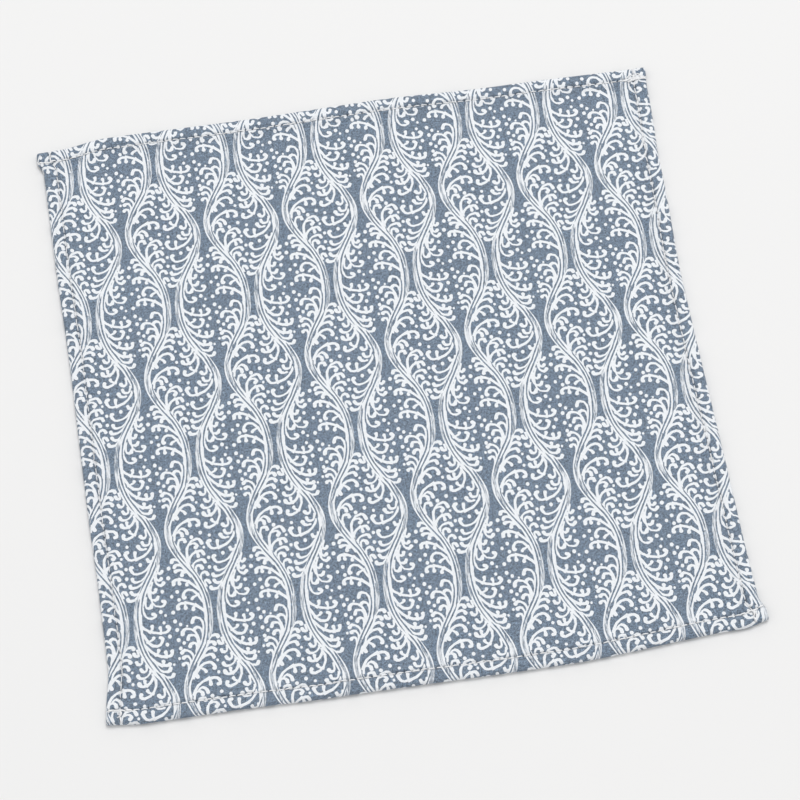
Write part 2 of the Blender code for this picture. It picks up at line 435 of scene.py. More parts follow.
# The crests along one side of a band: which band, whether up or down, and how far beside its centre
Growth = namedtuple("Growth", "side lift offset sprays")
GROWTHS = (
    Growth(-1, 1.0, -1.1, LEFT_INWARD),
    Growth(1, -1.0, -1.1, RIGHT_INWARD),
    Growth(1, -1.0, 1.4, RIGHT_OUTWARD),
    Growth(-1, 1.0, 1.5, LEFT_OUTWARD),
)
CROWN_HALF = 0.55          # half width of a flat crown, and as much again for each millimetre of arch
WIDEST_CROWN = 2.2
HIGH_ARCH = 1.3            # a crown that arches further than this is drawn with one point more
ROOT_PULL = 0.36           # how far the ends of a stem bend it, as shares of its span
CROWN_PULL = 0.42
CURL_START = 0.75          # how far past its head a tip starts to curl back, as a share of its curl
CURL_TUCK = 0.3            # how far it has tucked in by CURL_BEND of the way down
CURL_BEND = 0.7
TOOTH_KNOB = 0.7           # how far a tooth stands out on the other side of its stem
TOOTH_BOW = 0.3


def crest(growth, spray):
    """Outlines of one crest: a stem, its crown and the curl down to its head, and any teeth below."""
    lift = growth.lift
    offset = growth.offset + math.copysign(spray.apart, growth.offset)
    root = beside_band(growth.side, spray.root, offset)
    ahead = beside_band(growth.side, spray.root + lift, offset)
    toward = -growth.side * math.copysign(1.0, -growth.offset)
    outer = spray.x + toward * spray.curl
    wide = min(CROWN_HALF + CROWN_HALF * spray.arch, WIDEST_CROWN)
    crown = (outer - toward * wide, spray.y + lift * spray.arch)
    span = math.dist(crown, root)
    along_x, along_y = ahead[0] - root[0] + toward * spray.lean, ahead[1] - root[1]
    pull_length = ROOT_PULL * span / math.hypot(along_x, along_y)
    pull = (root[0] + along_x * pull_length, root[1] + along_y * pull_length)
    before = (crown[0] - toward * CROWN_PULL * span, crown[1])
    line = bezier(root, pull, before, crown, steps=5)
    stem = bezier(root, pull, before, crown, steps=40)
    level = spray.y + lift * CURL_START * spray.curl
    for turn in (30.0, 60.0, 90.0) if spray.arch > HIGH_ARCH else (45.0, 90.0):
        angle = math.radians(turn)
        rise = (crown[1] - level) * math.cos(angle)
        line.append((crown[0] + toward * wide * math.sin(angle), level + rise))
    if spray.curl:
        line.append((outer - toward * CURL_TUCK * spray.curl, blend(level, spray.y, CURL_BEND)))
        line.append((spray.x, spray.y))
    outlines = [brush_stroke(line, TOOTHED_STEM if spray.teeth else PLAIN_STEM)]
    for end in spray.teeth:
        start = min(stem, key=lambda point: math.dist(point, end))
        reach = math.dist(start, end)
        knob = [blend(own, other, -TOOTH_KNOB / reach) for own, other in zip(start, end)]
        start_pull = (start[0] + toward * TOOTH_BOW, start[1])
        end_pull = (end[0] + toward * TOOTH_BOW, blend(start[1], end[1], 0.5))
        line = bezier(knob, start_pull, end_pull, end, steps=3)
        outlines.append(brush_stroke(line, TOOTH))
    return outlines


# The printed dots that lie loose between the crests
Spot = namedtuple("Spot", "x y radius")
SPOTS = (
    Spot(-15.1, 30.7, 0.85), Spot(-13.2, 29.1, 0.78), Spot(-14.7, 27.1, 0.85), Spot(-10.8, 28.1, 0.5),
    Spot(-14.6, 22.9, 0.87), Spot(-12.7, 21.4, 0.78), Spot(-14.2, 19.4, 0.8), Spot(-15.1, 15.4, 0.62),
    Spot(12.5, 30.8, 0.7), Spot(14.1, 24.9, 0.88), Spot(12.8, 21.8, 0.84), Spot(14.5, 13.3, 0.55),
    Spot(-15.0, -13.3, 0.88), Spot(-12.9, -23.4, 0.82), Spot(-15.2, -25.1, 0.76), Spot(-12.6, -26.8, 0.8),
    Spot(-15.4, -31.6, 0.86), Spot(-15.6, -17.3, 0.9), Spot(13.3, -22.4, 0.8), Spot(11.8, -30.6, 0.85),
    Spot(13.4, -32.3, 0.6), Spot(-1.15, 12.5, 0.58), Spot(-1.3, 7.7, 0.7), Spot(-1.2, -0.3, 0.82),
    Spot(-4.8, -1.7, 0.86), Spot(2.1, -1.9, 0.72), Spot(-0.6, -6.6, 0.6), Spot(0.7, -11.1, 0.75),
    Spot(0.5, -15.1, 0.8), Spot(6.3, -10.1, 0.84),
)
SPOT_WIDE, SPOT_TALL = 0.92, 1.05
SPOT_SIDES = 8


def spot_outline(spot):
    """A printed dot, a little taller than wide."""
    turns = [2.0 * math.pi * step / SPOT_SIDES for step in range(SPOT_SIDES)]
    wide, tall = SPOT_WIDE * spot.radius, SPOT_TALL * spot.radius
    return [(spot.x + wide * math.cos(turn), spot.y + tall * math.sin(turn)) for turn in turns]


GROUND, PRINT, DRY = 0, 1, 2
outlines = {GROUND: [], PRINT: [], DRY: []}
outlines[PRINT] += [band_bed(-1, LEFT_BAND), band_bed(1, RIGHT_BAND)]
outlines[GROUND] += [streak_outline(streak) for streak in HAIRLINES]
outlines[DRY] += [streak_outline(streak) for streak in DRY_STRIPS]
for growth in GROWTHS:
    for spray in growth.sprays:
        outlines[PRINT] += crest(growth, spray)
outlines[PRINT] += [spot_outline(spot) for spot in SPOTS]

# The repeat as a mesh
# The outlines overlap as brush strokes do, so they are cut into triangles twice: once with every line,
# to find what is printed, and once more with only the borders of the print, to keep the mesh light.
HALF_WIDTH, HALF_HEIGHT = 0.5 * REPEAT_WIDTH, 0.5 * REPEAT_HEIGHT
POINT_GRID = 0.05          # the kept borders have their points on this grid, to join up
TOUCHING = 0.005           # points nearer than this to each other or to a line are on it
RIM_STEPS_UP, RIM_STEPS_ACROSS = 23, 11


def with_neighbours(shapes):
    """The shapes and those copies from the repeats around that reach into this one."""
    kept = []
    for shape, column, row in product(shapes, (-1, 0, 1), (-1, 0, 1)):
        moved = np.array(shape) + (column * REPEAT_WIDTH, row * REPEAT_HEIGHT)
        low, high = moved.min(axis=0), moved.max(axis=0)
        if (low < (HALF_WIDTH, HALF_HEIGHT)).all() and (high > (-HALF_WIDTH, -HALF_HEIGHT)).all():
            kept.append(moved)
    return kept


neighbours = {kind: with_neighbours(shapes) for kind, shapes in outlines.items()}


def inside(shape, points):
    """Which points a closed outline winds round."""
    winding = np.zeros(len(points), dtype=int)
    x, y = points[:, 0], points[:, 1]
    for start, end in zip(shape, np.roll(shape, -1, axis=0)):
        turn = (end[0] - start[0]) * (y - start[1]) - (end[1] - start[1]) * (x - start[0])
        winding += (start[1] <= y) & (end[1] > y) & (turn > 0.0)
        winding -= (start[1] > y) & (end[1] <= y) & (turn < 0.0)
    return winding != 0


def ink_at(points):
    """What covers each point: bare ground, full print or dry print."""
    ink = np.full(len(points), GROUND)
    for kind in (PRINT, DRY, GROUND):
        for shape in neighbours[kind]:
            low, high = shape.min(axis=0), shape.max(axis=0)
            near = np.flatnonzero(((points > low) & (points < high)).all(axis=1))
            ink[near[inside(shape, points[near])]] = kind
    return ink


def cut_triangles(points, edges):
    """Triangles that keep all the given edges."""
    found = delaunay_2d_cdt([Vector(point) for point in points], edges, [], 0, TOUCHING)
    spots = np.array([tuple(spot) for spot in found[0]])
    return spots, np.array(found[2])


def keep_cell(spots, triangles):
    """Only the triangles of this repeat, with their ink."""
    centres = spots[triangles].mean(axis=1)
    within = (np.abs(centres) < (HALF_WIDTH, HALF_HEIGHT)).all(axis=1)
    return triangles[within], ink_at(centres[within])


def ink_borders(spots, triangles, ink):
    """The lines between areas of different ink: their points, and which two each line joins."""
    sides = np.sort(triangles[:, [0, 1, 1, 2, 2, 0]].reshape(-1, 2), axis=1)
    side_ink = np.repeat(ink, 3)
    order = np.lexsort((sides[:, 1], sides[:, 0]))
    sides, side_ink = sides[order], side_ink[order]
    alike = (sides[1:] == sides[:-1]).all(axis=1) & (side_ink[1:] == side_ink[:-1])
    within_ink = np.append(alike, False) | np.append(False, alike)
    used, lines = np.unique(np.unique(sides[~within_ink], axis=0), return_inverse=True)
    return np.round(spots[used] / POINT_GRID) * POINT_GRID, lines.reshape(-1, 2)


def frame_cell(points, lines, axis, half, other_half, steps):
    """Two opposite sides of the repeat as lines whose points match, so that repeats can be joined."""
    on_rim = np.abs(np.abs(points[:, axis]) - half) < TOUCHING
    points[on_rim] = np.round(points[on_rim], 1)
    lines = lines[~on_rim[lines].all(axis=1)]
    even_stops = np.round(np.linspace(-other_half, other_half, steps), 1)
    stops = np.unique(np.append(points[on_rim, 1 - axis], even_stops))
    for end in (-half, half):
        chain = np.full((len(stops), 2), end)
        chain[:, 1 - axis] = stops
        links = np.arange(len(chain) - 1)[:, None] + (0, 1) + len(points)
        points, lines = np.concatenate([points, chain]), np.concatenate([lines, links])
    return points, lines


cell_corners = np.array([(-1, -1), (1, -1), (1, 1), (-1, 1)]) * (HALF_WIDTH, HALF_HEIGHT)
drawn_points, drawn_lines = [], []
for shape in [cell_corners] + [shape for shapes in neighbours.values() for shape in shapes]:
    first = len(drawn_points)
    drawn_points += [tuple(point) for point in shape]
    drawn_lines += [(first + spot, first + (spot + 1) % len(shape)) for spot in range(len(shape))]
spots, triangles = cut_triangles(drawn_points, drawn_lines)
triangles, ink = keep_cell(spots, triangles)
points, lines = ink_borders(spots, triangles, ink)
points, lines = frame_cell(points, lines, 0, HALF_WIDTH, HALF_HEIGHT, RIM_STEPS_UP)
points, lines = frame_cell(points, lines, 1, HALF_HEIGHT, HALF_WIDTH, RIM_STEPS_ACROSS)
cell_spots, cell_triangles = cut_triangles(points, lines.tolist())
cell_triangles, cell_ink = keep_cell(cell_spots, cell_triangles)

# The printed face
# The cloth itself, from edge to edge and round the fold to what is turned under. The repeat is laid
# side by side over the flat cut, trimmed to it with mitred corners, and bent over the hem.
FACE_EDGE = FOLD_SLACK + TURNED_UNDER
REPEAT_COLUMNS = range(-2, 8)
REPEAT_ROWS = range(-1, 4)
JOINED = 0.004             # points nearer than this to each other are one
ON_LINE = 0.05             # a point nearer than this to a cut counts as on it
GROOVE_HALF = 0.6

# Places where the washed cloth was pulled, how far round them that reaches, and how far the print moved
Pull = namedtuple("Pull", "across up reach x y")
PULLS = (
    Pull(240.0, 35.0, 42.0, 0.0, 1.5), Pull(180.0, 35.0, 42.0, -0.5, -0.9),
    Pull(120.0, 190.0, 45.0, 0.0, 0.6), Pull(195.0, 200.0, 35.0, 0.0, -0.7),
    Pull(245.0, 245.0, 25.0, 0.3, -0.8), Pull(5.0, 5.0, 25.0, -1.0, 0.0),
)

# How far the whole print is off to the right and to the back, and how it leans, bends and twists
Drift = namedtuple("Drift", "off lean_across lean_up bend_across twist bend_up")
DRIFT_X = Drift(0.07, -0.04, 0.43, 0.23, 0.31, 0.0)
DRIFT_Y = Drift(-0.76, -0.05, 0.61, -0.11, 0.35, 0.65)


def drift_at(drift, a, b):
    """How far the print has drifted, at shares of the way from the cloth's middle to its edges."""
    leaning = drift.off + drift.lean_across * a + drift.lean_up * b
    return leaning + drift.bend_across * a * a + drift.twist * a * b + drift.bend_up * b * b


def out_of_true(spots):
    """Where the printed pattern really lies, as the cloth was drawn askew while it was cut and hemmed."""
    a, b = (spots / (0.5 * SIDE) - 1.0).T
    drift_x, drift_y = drift_at(DRIFT_X, a, b), drift_at(DRIFT_Y, a, b)
    for pull in PULLS:
        away = ((spots - (pull.across, pull.up)) ** 2).sum(axis=1)
        near = np.exp(-away / pull.reach ** 2)
        drift_x += pull.x * near
        drift_y += pull.y * near
    return spots + np.stack([drift_x, drift_y], axis=1)


def lay_repeats():
    """The repeats side by side, a little past the cut, with their shared points joined."""
    steps = np.array(list(product(REPEAT_COLUMNS, REPEAT_ROWS)))
    middles = steps * (REPEAT_WIDTH, REPEAT_HEIGHT) + FIRST_BULB
    spots = (middles[:, None] + cell_spots).reshape(-1, 2)
    first_spots = np.arange(len(steps)) * len(cell_spots)
    triangles = (first_spots[:, None, None] + cell_triangles).reshape(-1, 3)
    ink = np.tile(cell_ink, len(steps))
    _, first, joined = np.unique(np.round(spots / JOINED), axis=0, return_index=True, return_inverse=True)
    triangles = joined.reshape(-1)[triangles]
    proper = (triangles != np.roll(triangles, 1, axis=1)).all(axis=1)
    return spots[first], triangles[proper], ink[proper]


def cut_along(sheet, normal, distance, keep_far):
    """Cuts a sheet's triangles along a straight line, and drops what lies behind it unless that is kept."""
    spots, triangles, ink = sheet
    away = spots @ np.array(normal) - distance
    away[np.abs(away) < ON_LINE] = 0.0
    signs = np.sign(away[triangles])
    crossing = (signs.max(axis=1) > 0) & (signs.min(axis=1) < 0)
    whole = ~crossing & (keep_far | (signs.sum(axis=1) > 0))
    new_spots, made = [], {}
    pieces, piece_ink = [], []

    def crossing_spot(start, end):
        key = (min(start, end), max(start, end))
        if key not in made:
            share = away[key[0]] / (away[key[0]] - away[key[1]])
            made[key] = len(spots) + len(new_spots)
            new_spots.append(blend(spots[key[0]], spots[key[1]], share))
        return made[key]

    for corner_list, kind in zip(triangles[crossing].tolist(), ink[crossing].tolist()):
        front, back = [], []
        for start, end in zip(corner_list, corner_list[1:] + corner_list[:1]):
            if away[start] >= 0.0:
                front.append(start)
            if away[start] <= 0.0:
                back.append(start)
            if away[start] * away[end] < 0.0:
                middle = crossing_spot(start, end)
                front.append(middle)
                back.append(middle)
        for piece in (front, back) if keep_far else (front,):
            for spot in range(1, len(piece) - 1):
                pieces.append((piece[0], piece[spot], piece[spot + 1]))
                piece_ink.append(kind)
    triangles, ink = triangles[whole], ink[whole]
    if pieces:
        spots = np.concatenate([spots, new_spots])
        triangles, ink = np.concatenate([triangles, pieces]), np.concatenate([ink, piece_ink])
    return spots, triangles, ink


def four_sides(inset):
    """The straight lines at an inset from each edge, as the way inwards and how far out that starts."""
    return (((1, 0), inset), ((-1, 0), inset - SIDE), ((0, 1), inset), ((0, -1), inset - SIDE))


def trim_to_cut(sheet):
    """Trims the laid repeats to the flat cut, its corners mitred where the hems meet below."""
    for normal, distance in four_sides(-FACE_EDGE):
        sheet = cut_along(sheet, normal, distance, keep_far=False)
    slant = math.sqrt(0.5)
    for normal in product((slant, -slant), repeat=2):
        distance = -FOLD_SLACK * 2.0 * slant + min(normal[0], 0.0) * SIDE + min(normal[1], 0.0) * SIDE
        sheet = cut_along(sheet, normal, distance, keep_far=False)
    return sheet


# Insets at which the cloth bends over its fold and into its groove, so triangles end there
CREASE_LINES = (
    -FOLD_SLACK - FOLD_TURN, -FOLD_SLACK - 0.5 * FOLD_TURN, -FOLD_SLACK, -FOLD_SLACK + 0.5 * FOLD_TURN,
    FOLD_DEPTH, SEAM_INSET - GROOVE_HALF, SEAM_INSET, SEAM_INSET + GROOVE_HALF,
)
spots, triangles, ink = lay_repeats()
spots = out_of_true(spots)
spots = np.stack(square_up(spots[:, 0], spots[:, 1]), axis=1)
sheet = trim_to_cut((spots, triangles, ink))
for inset in CREASE_LINES:
    for normal, distance in four_sides(inset):
        sheet = cut_along(sheet, normal, distance, keep_far=True)
spots, triangles, ink = sheet
used, triangles = np.unique(triangles, return_inverse=True)
spots, triangles = spots[used], triangles.reshape(-1, 3)

GROUND_COOL = (0.162, 0.218, 0.296)
GROUND_WARM = (0.182, 0.226, 0.283)
PRINT_COLOR = (0.860, 0.885, 0.915)
THREAD_PITCH = 0.42
MAP_MARGIN = 0.002         # bare rim of the flat map round the cloth


class Finish:
    """A material under construction, with short ways to add and join its nodes."""

    def __init__(self, name):
        self.material = bpy.data.materials.new(name)
        self.material.use_nodes = True
        self.tree = self.material.node_tree

    def fill(self, node, values):
        """Joins or sets a node's sockets, given by name or number."""
        for key, value in values.items():
            socket = node.inputs[key]
            if isinstance(value, bpy.types.NodeSocket):
                self.tree.links.new(value, socket)
            elif socket.type == "RGBA":
                socket.default_value = (*value, 1.0)
            else:
                socket.default_value = value

    def add(self, kind, values, **settings):
        node = self.tree.nodes.new(kind)
        for key, value in settings.items():
            setattr(node, key, value)
        self.fill(node, values)
        return node

    def own_place(self):
        """Where a point lies on its piece, in metres."""
        return self.add("ShaderNodeTexCoord", {}).outputs["Object"]

    def maths(self, operation, first, second=0.0, third=0.0):
        return self.add("ShaderNodeMath", {0: first, 1: second, 2: third}, operation=operation).outputs[0]

    def times(self, first, second):
        return self.maths("MULTIPLY", first, second)

    def vectors(self, operation, first, second):
        return self.add("ShaderNodeVectorMath", {0: first, 1: second}, operation=operation).outputs[0]

    def noise(self, place, scale, detail=2.0):
        values = {"Vector": place, "Scale": scale, "Detail": detail}
        return self.add("ShaderNodeTexNoise", values).outputs["Fac"]

    def between(self, value, low, high, new_low, new_high, kind="LINEAR"):
        values = {"Value": value, "From Min": low, "From Max": high, "To Min": new_low, "To Max": new_high}
        return self.add("ShaderNodeMapRange", values, interpolation_type=kind).outputs["Result"]

    def fade(self, value, near, far):
        """Full strength up to near, then softly down to nothing at far."""
        return self.between(value, near, far, 1.0, 0.0, "SMOOTHSTEP")

    def mix(self, share, first, second):
        return self.add("ShaderNodeMix", {0: share, 6: first, 7: second}, data_type="RGBA").outputs[2]

    def shaded(self, color, shade):
        return self.add("ShaderNodeHueSaturation", {"Color": color, "Value": shade}).outputs["Color"]

    def inset(self, along):
        """How far in a place lies from the nearer of two opposite edges."""
        from_middle = self.maths("ABSOLUTE", self.maths("SUBTRACT", along, 0.5 * SIDE))
        return self.maths("SUBTRACT", 0.5 * SIDE, from_middle)

    def bump(self, height, distance, strength, before=None):
        values = {"Height": height, "Distance": distance, "Strength": strength}
        if before is not None:
            values["Normal"] = before
        return self.add("ShaderNodeBump", values).outputs["Normal"]

    def surface(self, values):
        self.fill(self.tree.nodes["Principled BSDF"], values)
        return self.material


def plain_weave(finish, across, up):
    """Height of a plain weave: threads over and under in turn, the weft a little bolder."""
    turn_x = finish.times(across, math.pi / THREAD_PITCH)
    turn_y = finish.times(up, math.pi / THREAD_PITCH)
    crossing = finish.times(finish.maths("SINE", turn_x), finish.maths("SINE", turn_y))
    ribs = finish.maths("ABSOLUTE", finish.maths("COSINE", turn_y))
    return finish.maths("MULTIPLY_ADD", crossing, 0.4, finish.maths("MULTIPLY_ADD", ribs, 0.15, 0.42))


def seam_marks(finish, inset, along, phase):
    """Puckers beside one side's seam, and the dips at its needle holes and along its groove, which also
    darken the colour as painted shade.
    """
    away = finish.maths("ABSOLUTE", finish.maths("SUBTRACT", inset, SEAM_INSET))
    spot = {0: finish.times(along, 0.34), 1: finish.times(inset, 0.11), 2: phase}
    waves = finish.noise(finish.add("ShaderNodeCombineXYZ", spot).outputs[0], 1.0)
    puckers = finish.times(waves, finish.fade(away, 0.3, 4.2))
    along_seam = finish.maths("SUBTRACT", along, SEAM_START)
    beat = finish.maths("COSINE", finish.times(along_seam, 2.0 * math.pi / STITCH))
    # Dark dots at each needle hole: painted shade of the holes, and also a dip in the bump.
    hole_dip_and_painted_shade = finish.between(beat, 0.55, 1.0, 0.0, 1.0, "SMOOTHSTEP")
    hole_dip_and_painted_shade = finish.times(hole_dip_and_painted_shade, finish.fade(away, 0.15, 0.6))
    # Dark marks at random along the groove: painted groove shadow, and also a dip in the bump.
    groove_dip_and_painted_shadow = finish.between(waves, 0.48, 0.62, 0.0, 0.45, "SMOOTHSTEP")
    groove_dip_and_painted_shadow = finish.times(groove_dip_and_painted_shadow, finish.fade(away, 0.2, 1.1))
    return puckers, finish.maths("MAXIMUM", hole_dip_and_painted_shade, groove_dip_and_painted_shadow)


def printed_cotton(name, ink):
    """Woven cotton with bare ground, full print or dry, streaky print."""
    finish = Finish(name)
    flat = finish.add("ShaderNodeUVMap", {}, uv_map="OFBake").outputs["UV"]
    spread = (SIDE + 2.0 * FACE_EDGE) / (1.0 - 2.0 * MAP_MARGIN)
    from_rim = finish.vectors("MULTIPLY", flat, (spread, spread, 0.0))
    place = finish.vectors("SUBTRACT", from_rim, (FACE_EDGE + MAP_MARGIN * spread,) * 3)
    across, up, _ = finish.add("ShaderNodeSeparateXYZ", {0: place}).outputs
    at_right = finish.maths("GREATER_THAN", across, 0.5 * SIDE)
    at_back = finish.maths("GREATER_THAN", up, 0.5 * SIDE)
    puckers_x, dips_and_painted_shade_x = seam_marks(finish, finish.inset(across), up, at_right)
    puckers_y, dips_and_painted_shade_y = seam_marks(finish, finish.inset(up), across, finish.maths("ADD", at_back, 4.0))
    puckers = finish.maths("ADD", puckers_x, puckers_y)
    seam_dips_and_painted_shade = finish.maths("MAXIMUM", dips_and_painted_shade_x, dips_and_painted_shade_y)

    weave = plain_weave(finish, across, up)
    slubs = finish.noise(place, 1.1, 3.0)
    grain = finish.noise(place, 2.6, 1.0)
    clouds = finish.noise(place, 0.03)
    shade = finish.between(slubs, 0.3, 0.7, 0.6, 1.4)
    shade = finish.times(shade, finish.between(grain, 0.25, 0.75, 0.4, 1.6))
    # The weave's hollows are a little darker than its crossings: painted shade, beside the weave's bump.
    shade = finish.times(shade, finish.between(weave, 0.1, 0.9, 0.9, 1.08))
    shade = finish.times(shade, finish.between(clouds, 0.3, 0.7, 0.975, 1.02))
    warmth = finish.between(finish.noise(place, 1.9, 1.0), 0.35, 0.65, 0.0, 1.0)
    tint = finish.mix(warmth, GROUND_COOL, GROUND_WARM)
    cloth = finish.shaded(tint, shade)
    if ink == GROUND:
        color = cloth
    else:
        pale = finish.shaded(PRINT_COLOR, finish.between(slubs, 0.3, 0.7, 0.95, 1.03))
        if ink == PRINT:
            thin = finish.maths("MULTIPLY_ADD", weave, 0.5, finish.times(grain, 0.7))
            worn = finish.between(thin, 0.26, 0.48, 0.3, 0.0)
        else:
            streaks = finish.noise(finish.vectors("MULTIPLY", place, (1.0, 0.07, 1.0)), 2.9)
            worn = finish.between(streaks, 0.42, 0.58, 0.85, 0.12)
        color = finish.mix(worn, pale, cloth)
    # The needle holes and the groove darken the colour down to 0.6 of it: painted shade.
    color = finish.shaded(color, finish.between(seam_dips_and_painted_shade, 0.0, 1.0, 1.0, 0.6))
    gathers = finish.maths("SUBTRACT", puckers, finish.times(seam_dips_and_painted_shade, 0.35))
    pulled = finish.bump(gathers, 0.9 * MM, 0.8)
    uneven = finish.bump(slubs, 0.1 * MM, 0.5, pulled)
    return finish.surface({
        "Base Color": color,
        "Roughness": finish.between(slubs, 0.3, 0.7, 0.84, 0.97),
        "Sheen Weight": 0.12 if ink == GROUND else 0.05,
        "Sheen Roughness": 0.6,
        "Specular IOR Level": 0.25,
        "Normal": finish.bump(weave, 0.1 * MM, 0.8, uneven),
    })


def mesh_piece(name, places, faces, materials, kinds=None):
    """A piece from its points and faces."""
    data = bpy.data.meshes.new(name)
    data.from_pydata(places, [], faces)
    for material in materials:
        data.materials.append(material)
    if kinds is not None:
        data.polygons.foreach_set("material_index", kinds)
    data.shade_smooth()
    piece = bpy.data.objects.new(name, data)
    bpy.context.scene.collection.objects.link(piece)
    return piece


face = mesh_piece(
    "printed_face",
    on_cloth(spots[:, 0], spots[:, 1]),
    triangles,
    [
        printed_cotton("slate_cotton", GROUND),
        printed_cotton("white_print", PRINT),
        printed_cotton("dry_print", DRY),
    ],
    ink,
)
face.data.normals_split_custom_set_from_vertices(face_directions(spots[:, 0], spots[:, 1]).tolist())
flat_map = face.data.uv_layers.new(name="OFBake")
flat_places = (spots[triangles.ravel()] + FACE_EDGE) / (SIDE + 2.0 * FACE_EDGE)
flat_map.data.foreach_set("uv", (MAP_MARGIN + (1.0 - 2.0 * MAP_MARGIN) * flat_places).ravel())
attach(face, "root")
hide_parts("handkerchief")

# The pile
# The cloth's other side: short loops of undyed cotton that stand close together, woven in one with
# the cloth. The table hides them here. They end just short of what the hem turns under.
PILE_INSET = 7.4
PILE_CELLS = 118
PILE_TOP = 1.5
PILE_FOOT = 0.12
LOOP_DEPTH = 0.22
PILE_RIM = 0.75            # height of the foot in the outermost rows, which stay clear of the hem
RIM_WIDTH = 1.5
pile_walk = np.linspace(PILE_INSET, SIDE - PILE_INSET, PILE_CELLS + 1)
pile_across, pile_up = (places.ravel() for places in np.meshgrid(pile_walk, pile_walk))
pile_x, pile_y = lay_out(pile_across, pile_up)
loops = np.random.default_rng(7).uniform(0.0, LOOP_DEPTH, pile_x.shape)
inset = np.minimum.reduce([pile_across, pile_up, SIDE - pile_across, SIDE - pile_up])
pile_low = np.where(inset < PILE_INSET + RIM_WIDTH, PILE_RIM, PILE_FOOT + loops)
low_layer = np.stack([pile_x - MIDDLE_X, pile_y - MIDDLE_Y, pile_low], axis=1) * MM
high_layer = low_layer * (1.0, 1.0, 0.0) + (0.0, 0.0, PILE_TOP * MM)
row_length = PILE_CELLS + 1
layer_size = row_length * row_length
cells = np.arange(PILE_CELLS)
corner = (cells[:, None] * row_length + cells).ravel()
under = np.stack([corner, corner + row_length, corner + row_length + 1, corner + 1], axis=1)
over = under[:, ::-1] + layer_size
rim = np.concatenate([
    cells,
    cells * row_length + PILE_CELLS,
    layer_size - 1 - cells,
    (PILE_CELLS - cells) * row_length,
])
rim_next = np.roll(rim, -1)
wall = np.stack([rim, rim_next, rim_next + layer_size, rim + layer_size], axis=1)


def looped_pile():
    """Undyed cotton loops, in small tufts."""
    finish = Finish("looped_pile")
    place = finish.own_place()
    tufts = finish.add("ShaderNodeTexVoronoi", {"Vector": place, "Scale": 900.0}).outputs["Distance"]
    fluff = finish.noise(place, 2400.0, 3.0)
    color = finish.mix(finish.between(tufts, 0.1, 0.7, 0.0, 1.0), (0.78, 0.79, 0.79), (0.52, 0.55, 0.59))
    rounded = finish.bump(finish.maths("SUBTRACT", 1.0, tufts), 0.5 * MM, 0.9)
    return finish.surface({
        "Base Color": color,
        "Roughness": finish.between(fluff, 0.3, 0.7, 0.88, 1.0),
        "Sheen Weight": 0.25,
        "Specular IOR Level": 0.2,
        "Normal": finish.bump(fluff, 0.1 * MM, 0.5, rounded),
    })


pile = mesh_piece(
    "looped_underside",
    np.concatenate([low_layer, high_layer]),
    np.concatenate([under, over, wall]),
    [looped_pile()],
)
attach(pile, "root")

# The hem's stitching
# Fine white polyester thread, one machine seam along each side from edge to edge. Each stitch lies in
# the groove it pulls and dips into its needle holes; the seam's ends are sewn back over themselves.
THREAD_RADIUS = 0.26
THREAD_SIDES = 5
STITCH_RISE = 0.62         # how far a stitch bulges above its two holes, and how deep these are
HOLE_DEPTH = 0.2
thread_dice = np.random.default_rng(11)


def tube(path, radii):
    """Points and faces of a thread along a path, closed at both ends."""
    ahead = np.gradient(path, axis=0)
    ahead /= np.linalg.norm(ahead, axis=1, keepdims=True).clip(1e-12)
    beside = np.cross(ahead, (0.0, 0.0, 1.0))
    beside /= np.linalg.norm(beside, axis=1, keepdims=True).clip(1e-6)
    above = np.cross(beside, ahead)
    turns = 2.0 * math.pi * np.arange(THREAD_SIDES)[:, None] / THREAD_SIDES
    spokes = np.cos(turns) * beside[:, None] + np.sin(turns) * above[:, None]
    points = (path[:, None] + radii[:, None, None] * spokes).reshape(-1, 3)
    ring = np.arange(THREAD_SIDES)
    after = np.roll(ring, -1)
    walls = np.array([(ring, after, after + THREAD_SIDES), (ring, after + THREAD_SIDES, ring + THREAD_SIDES)])
    walls = walls.transpose(2, 0, 1).reshape(-1, 3)
    faces = [walls + step * THREAD_SIDES for step in range(len(path) - 1)]
    end = len(points) - THREAD_SIDES
    for spoke in range(1, THREAD_SIDES - 1):
        faces.append([(0, spoke + 1, spoke), (end, end + spoke, end + spoke + 1)])
    return points, np.concatenate(faces)


def seam_place(side, along, inset):
    """A place on the flat cloth, from a side's own along and inset."""
    if side in ("front", "back"):
        return along, inset if side == "front" else SIDE - inset
    return (inset if side == "left" else SIDE - inset), along


def stitch_path(side, start, length, inset, drift, lift=0.0):
    """One stitch on the face: up out of its hole, along, and down again."""
    share = np.linspace(0.0, 1.0, len(TAPER))
    across, up = seam_place(side, start + length * share, inset + drift * (share - 0.5))
    path = on_cloth(across, up)
    path[:, 2] += ((STITCH_RISE + lift) * np.sin(np.pi * share).clip(0.0) ** 0.5 - HOLE_DEPTH) * MM
    return path


thread_points, thread_faces = [], []


def sew(path, radii):
    """Adds one length of thread to the seams."""
    points, faces = tube(path, radii)
    thread_faces.append(faces + sum(len(already) for already in thread_points))
    thread_points.append(points)


# The thread's radius along one stitch, and how full it stands on each side, sewn at different tensions
TAPER = np.array([0.55, 0.95, 1.0, 1.0, 0.95, 0.55]) * THREAD_RADIUS * MM
THREAD_FULLNESS = {"front": 1.0, "right": 0.95, "back": 0.9, "left": 0.72}
STITCH_SHIFT = 0.08        # how far a stitch starts early or late
STITCH_SHARE = (0.86, 0.94)    # its length, as a share of the way to the next
STITCH_WANDER = 0.06       # how far it strays from the seam, and how askew it lies
STITCH_SLANT = 0.14
for side, fullness in THREAD_FULLNESS.items():
    for stitch in range(int((SIDE - 2.0 * SEAM_START) / STITCH)):
        start = SEAM_START + stitch * STITCH + thread_dice.uniform(-STITCH_SHIFT, STITCH_SHIFT)
        length = STITCH * thread_dice.uniform(*STITCH_SHARE)
        inset = SEAM_INSET + thread_dice.normal(0.0, STITCH_WANDER)
        drift = thread_dice.normal(0.0, STITCH_SLANT)
        sew(stitch_path(side, start, length, inset, drift), fullness * TAPER)

